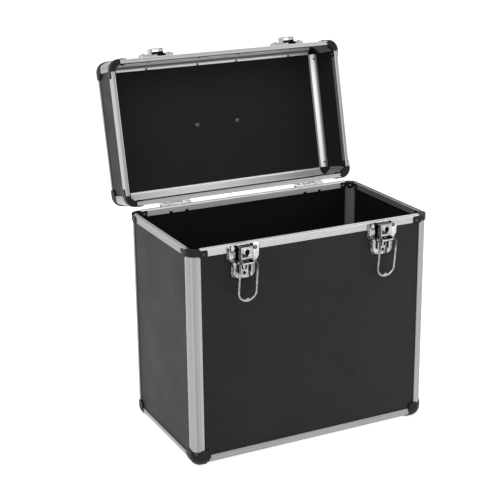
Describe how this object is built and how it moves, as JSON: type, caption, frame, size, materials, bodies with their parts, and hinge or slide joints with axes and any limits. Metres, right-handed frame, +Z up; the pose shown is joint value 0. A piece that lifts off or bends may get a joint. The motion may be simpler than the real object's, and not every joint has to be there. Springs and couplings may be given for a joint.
{
  "type": "record carrying case",
  "caption": "Upright aluminium-edged carrying case for 12-inch records, lid hinged open, with plastic corners, draw latches with wire bails, key locks and a folding handle.",
  "frame": {"origin": "on the floor below the middle of the whole case with its lid open at the joint rest pose", "axes": "+X to the right seen from the front, -Y out of the front with the latches, +Z up; the lid is open at rest"},
  "size_m": [0.3674, 0.344, 0.5221],
  "materials": {
    "laminate": "black textured laminate over thin board",
    "black_plastic": "moulded black plastic",
    "aluminium": "satin anodised extrusion",
    "plated_steel": "bright zinc-plated pressing",
    "steel_wire": "plated wire",
    "rivet_metal": "plated rivets and screws",
    "dark_metal": "blackened lock plug"
  },
  "bodies": {
    "base": {"base_back_panel": "laminate", "base_ball_corner_back_left": "black_plastic", "base_ball_corner_back_right": "black_plastic", "base_ball_corner_front_left": "black_plastic", "base_ball_corner_front_right": "black_plastic", "base_bottom_panel": "laminate", "base_bottom_profile_back": "aluminium", "base_bottom_profile_front": "aluminium", "base_bottom_profile_left": "aluminium", "base_bottom_profile_right": "aluminium", "base_front_panel": "laminate", "base_left_panel": "laminate", "base_right_panel": "laminate", "base_rim_back": "aluminium", "base_rim_brackets": "black_plastic", "base_rim_front": "aluminium", "base_rim_left": "aluminium", "base_rim_right": "aluminium", "base_rivets": "rivet_metal", "base_upright_back_left": "aluminium", "base_upright_back_right": "aluminium", "base_upright_front_left": "aluminium", "base_upright_front_right": "aluminium", "hinge_base_leaf_left": "plated_steel", "hinge_base_leaf_right": "plated_steel", "hinge_pins": "steel_wire", "latch_pins": "steel_wire", "latch_plate_left": "plated_steel", "latch_plate_right": "plated_steel"},
    "lid": {"handle_plate": "plated_steel", "handle_screws": "rivet_metal", "hinge_lid_leaf_left": "plated_steel", "hinge_lid_leaf_right": "plated_steel", "latch_keeper_left": "plated_steel", "latch_keeper_right": "plated_steel", "lid_back_panel": "laminate", "lid_ball_corners": "black_plastic", "lid_front_panel": "laminate", "lid_left_panel": "laminate", "lid_right_panel": "laminate", "lid_rim_back": "aluminium", "lid_rim_brackets": "black_plastic", "lid_rim_front": "aluminium", "lid_rim_left": "aluminium", "lid_rim_right": "aluminium", "lid_rivets": "rivet_metal", "lid_top_panel": "laminate", "lid_top_profile_back": "aluminium", "lid_top_profile_front": "aluminium", "lid_top_profile_left": "aluminium", "lid_top_profile_right": "aluminium", "lid_uprights": "aluminium"},
    "lever_left": {"latch_lever_left": "plated_steel"},
    "lever_right": {"latch_lever_right": "plated_steel"},
    "bail_left": {"latch_bail_left": "steel_wire"},
    "bail_right": {"latch_bail_right": "steel_wire"},
    "lock_plug_left": {"latch_lock_plug_left": "dark_metal"},
    "lock_plug_right": {"latch_lock_plug_right": "dark_metal"},
    "handle_grip": {"handle_grip": "black_plastic"}
  },
  "joints": [
    {"name": "lid_hinge", "type": "hinge", "parent": "base", "child": "lid", "pos_m": [0, 0.05725, 0.3074], "axis": [1, 0, 0], "range_deg": [0, 103.1]},
    {"name": "lever_left", "type": "hinge", "parent": "base", "child": "lever_left", "pos_m": [-0.1055, -0.15875, 0.3029], "axis": [1, 0, 0], "range_deg": [-75, 0]},
    {"name": "bail_left", "type": "hinge", "parent": "lever_left", "child": "bail_left", "pos_m": [-0.1055, -0.16725, 0.2855], "axis": [-1, 0, 0], "range_deg": [0, 188.3]},
    {"name": "lock_plug_left", "type": "hinge", "parent": "lever_left", "child": "lock_plug_left", "pos_m": [-0.1055, -0.15735, 0.2979], "axis": [0, -1, 0], "range_deg": [0, 90]},
    {"name": "lever_right", "type": "hinge", "parent": "base", "child": "lever_right", "pos_m": [0.1055, -0.15875, 0.3029], "axis": [1, 0, 0], "range_deg": [-75, 0]},
    {"name": "bail_right", "type": "hinge", "parent": "lever_right", "child": "bail_right", "pos_m": [0.1055, -0.16725, 0.2855], "axis": [-1, 0, 0], "range_deg": [0, 188.3]},
    {"name": "lock_plug_right", "type": "hinge", "parent": "lever_right", "child": "lock_plug_right", "pos_m": [0.1055, -0.15735, 0.2979], "axis": [0, -1, 0], "range_deg": [0, 90]},
    {"name": "handle_fold", "type": "hinge", "parent": "lid", "child": "handle_grip", "pos_m": [0, 0.15789, 0.39487], "axis": [1, 0, 0], "range_deg": [-10, 160]}
  ]
}
